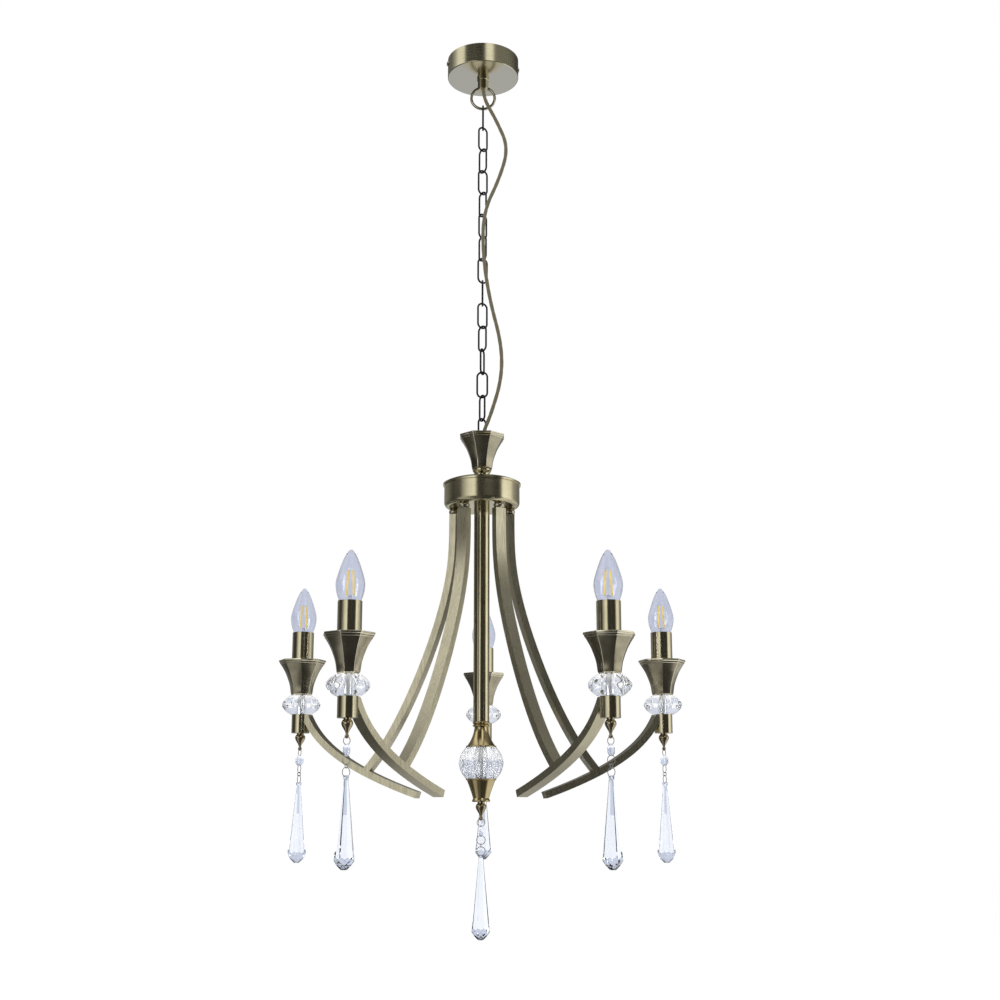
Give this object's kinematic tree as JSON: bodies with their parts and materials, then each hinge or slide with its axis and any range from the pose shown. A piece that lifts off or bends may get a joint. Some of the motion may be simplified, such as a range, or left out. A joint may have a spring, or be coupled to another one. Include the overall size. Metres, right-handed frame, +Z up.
{
  "type": "chandelier",
  "caption": "Ceiling chandelier on a chain with a braided flex, S-shaped arms carrying candle lamps in octagonal cups, fluted glass balls and faceted glass drops.",
  "frame": {"origin": "on the ceiling plane, directly above the chain and the centre column", "axes": "+Z up, -Y towards the front pair of arms, X to the right"},
  "size_m": [0.559, 0.5317, 1.2236],
  "materials": {
    "antique_brass": "brushed, lacquered antique brass",
    "bronze_casting": "dark cast antique brass with worn edges",
    "dark_chain": "semi-gloss dark bronze",
    "plated_wire": "polished",
    "steel": "zinc plated",
    "cut_glass": "polished clear",
    "lamp_glass": "clear",
    "white_plastic": "matte",
    "braid": "twisted woven braid"
  },
  "bodies": {
    "ceiling": {"ceiling_bracket": "steel", "ceiling_rose": "antique_brass", "rose_side_screws": "steel", "rose_hanger": "antique_brass", "hanger_locknut": "steel", "rose_terminal_block": "white_plastic"},
    "ring": {"hanger_ring": "antique_brass"},
    "chain": {"chain_links": "dark_chain", "supply_flex": "braid"},
    "end_link": {"chain_end_link": "dark_chain"},
    "fixture": {"top_loop": "steel", "flex_grip": "white_plastic", "top_cup": "bronze_casting", "hub_lid": "antique_brass", "hub_drum": "antique_brass", "hub_terminal_block": "white_plastic", "arm_collars": "antique_brass", "arm_nuts": "steel", "centre_column": "antique_brass", "centre_rod": "steel", "column_collar": "antique_brass", "upper_bell": "antique_brass", "centre_ball": "cut_glass", "lower_bell": "antique_brass", "arm_1": "antique_brass", "arm_2": "antique_brass", "arm_3": "antique_brass", "arm_4": "antique_brass", "arm_5": "antique_brass", "arm_barrels": "antique_brass", "glass_balls": "cut_glass", "candle_cups": "bronze_casting", "candle_sleeves": "antique_brass", "lampholders": "white_plastic", "threaded_tubes": "steel", "pendant_finials": "antique_brass"},
    "lamp_1": {"lamp_1": "lamp_glass"},
    "lamp_2": {"lamp_2": "lamp_glass"},
    "lamp_3": {"lamp_3": "lamp_glass"},
    "lamp_4": {"lamp_4": "lamp_glass"},
    "lamp_5": {"lamp_5": "lamp_glass"},
    "pendant_1": {"bead_1": "cut_glass", "pendant_rings_1": "plated_wire"},
    "drop_1": {"drop_1": "cut_glass"},
    "pendant_2": {"bead_2": "cut_glass", "pendant_rings_2": "plated_wire"},
    "drop_2": {"drop_2": "cut_glass"},
    "pendant_3": {"bead_3": "cut_glass", "pendant_rings_3": "plated_wire"},
    "drop_3": {"drop_3": "cut_glass"},
    "pendant_4": {"bead_4": "cut_glass", "pendant_rings_4": "plated_wire"},
    "drop_4": {"drop_4": "cut_glass"},
    "pendant_5": {"bead_5": "cut_glass", "pendant_rings_5": "plated_wire"},
    "drop_5": {"drop_5": "cut_glass"},
    "pendant_6": {"bead_6": "cut_glass", "pendant_rings_6": "plated_wire"},
    "drop_6": {"drop_6": "cut_glass"}
  },
  "joints": [
    {"name": "ring_swing", "type": "hinge", "parent": "ceiling", "child": "ring", "pos_m": [0, 0, -0.0404], "axis": [1, 0, 0], "range_deg": [-15, 15]},
    {"name": "chain_swing", "type": "hinge", "parent": "ring", "child": "chain", "pos_m": [0, 0, -0.0704], "axis": [0, 1, 0], "range_deg": [-15, 15], "deforming": ["supply_flex"]},
    {"name": "end_link_twist", "type": "hinge", "parent": "chain", "child": "end_link", "pos_m": [0, 0, -0.54], "axis": [0, 0, 1], "range_deg": [-18, 18]},
    {"name": "fixture_rock", "type": "hinge", "parent": "end_link", "child": "fixture", "pos_m": [0, 0, -0.5748], "axis": [0.7071, 0.7071, 0], "range_deg": [-12, 12]},
    {"name": "lamp_1_out", "type": "slide", "parent": "fixture", "child": "lamp_1", "axis": [0, 0, 1], "range_m": [0, 0.04]},
    {"name": "lamp_2_out", "type": "slide", "parent": "fixture", "child": "lamp_2", "axis": [0, 0, 1], "range_m": [0, 0.04]},
    {"name": "lamp_3_out", "type": "slide", "parent": "fixture", "child": "lamp_3", "axis": [0, 0, 1], "range_m": [0, 0.04]},
    {"name": "lamp_4_out", "type": "slide", "parent": "fixture", "child": "lamp_4", "axis": [0, 0, 1], "range_m": [0, 0.04]},
    {"name": "lamp_5_out", "type": "slide", "parent": "fixture", "child": "lamp_5", "axis": [0, 0, 1], "range_m": [0, 0.04]},
    {"name": "pendant_1_swing", "type": "hinge", "parent": "fixture", "child": "pendant_1", "pos_m": [-0.15282, -0.21034, -0.9859], "axis": [-0.7071, 0.7071, 0], "range_deg": [-20, 20]},
    {"name": "drop_1_swing", "type": "hinge", "parent": "pendant_1", "child": "drop_1", "pos_m": [-0.15282, -0.21034, -1.0272], "axis": [0.7071, 0.7071, 0], "range_deg": [-20, 20]},
    {"name": "pendant_2_swing", "type": "hinge", "parent": "fixture", "child": "pendant_2", "pos_m": [0.15282, -0.21034, -0.9859], "axis": [0.7071, 0.7071, 0], "range_deg": [-20, 20]},
    {"name": "drop_2_swing", "type": "hinge", "parent": "pendant_2", "child": "drop_2", "pos_m": [0.15282, -0.21034, -1.0272], "axis": [0.7071, -0.7071, 0], "range_deg": [-20, 20]},
    {"name": "pendant_3_swing", "type": "hinge", "parent": "fixture", "child": "pendant_3", "pos_m": [0.24727, 0.08034, -0.9859], "axis": [-0.866, 0.5, 0], "range_deg": [-20, 20]},
    {"name": "drop_3_swing", "type": "hinge", "parent": "pendant_3", "child": "drop_3", "pos_m": [0.24727, 0.08034, -1.0272], "axis": [0.5, 0.866, 0], "range_deg": [-20, 20]},
    {"name": "pendant_4_swing", "type": "hinge", "parent": "fixture", "child": "pendant_4", "pos_m": [0, 0.26, -0.9859], "axis": [-1, 0, 0], "range_deg": [-20, 20]},
    {"name": "drop_4_swing", "type": "hinge", "parent": "pendant_4", "child": "drop_4", "pos_m": [0, 0.26, -1.0272], "axis": [0, 1, 0], "range_deg": [-20, 20]},
    {"name": "pendant_5_swing", "type": "hinge", "parent": "fixture", "child": "pendant_5", "pos_m": [-0.24727, 0.08034, -0.9859], "axis": [0.866, 0.5, 0], "range_deg": [-20, 20]},
    {"name": "drop_5_swing", "type": "hinge", "parent": "pendant_5", "child": "drop_5", "pos_m": [-0.24727, 0.08034, -1.0272], "axis": [0.5, -0.866, 0], "range_deg": [-20, 20]},
    {"name": "pendant_6_swing", "type": "hinge", "parent": "fixture", "child": "pendant_6", "pos_m": [0, 0, -1.0785], "axis": [0, 1, 0], "range_deg": [-20, 20]},
    {"name": "drop_6_swing", "type": "hinge", "parent": "pendant_6", "child": "drop_6", "pos_m": [0, 0, -1.1198], "axis": [1, 0, 0], "range_deg": [-20, 20]}
  ]
}
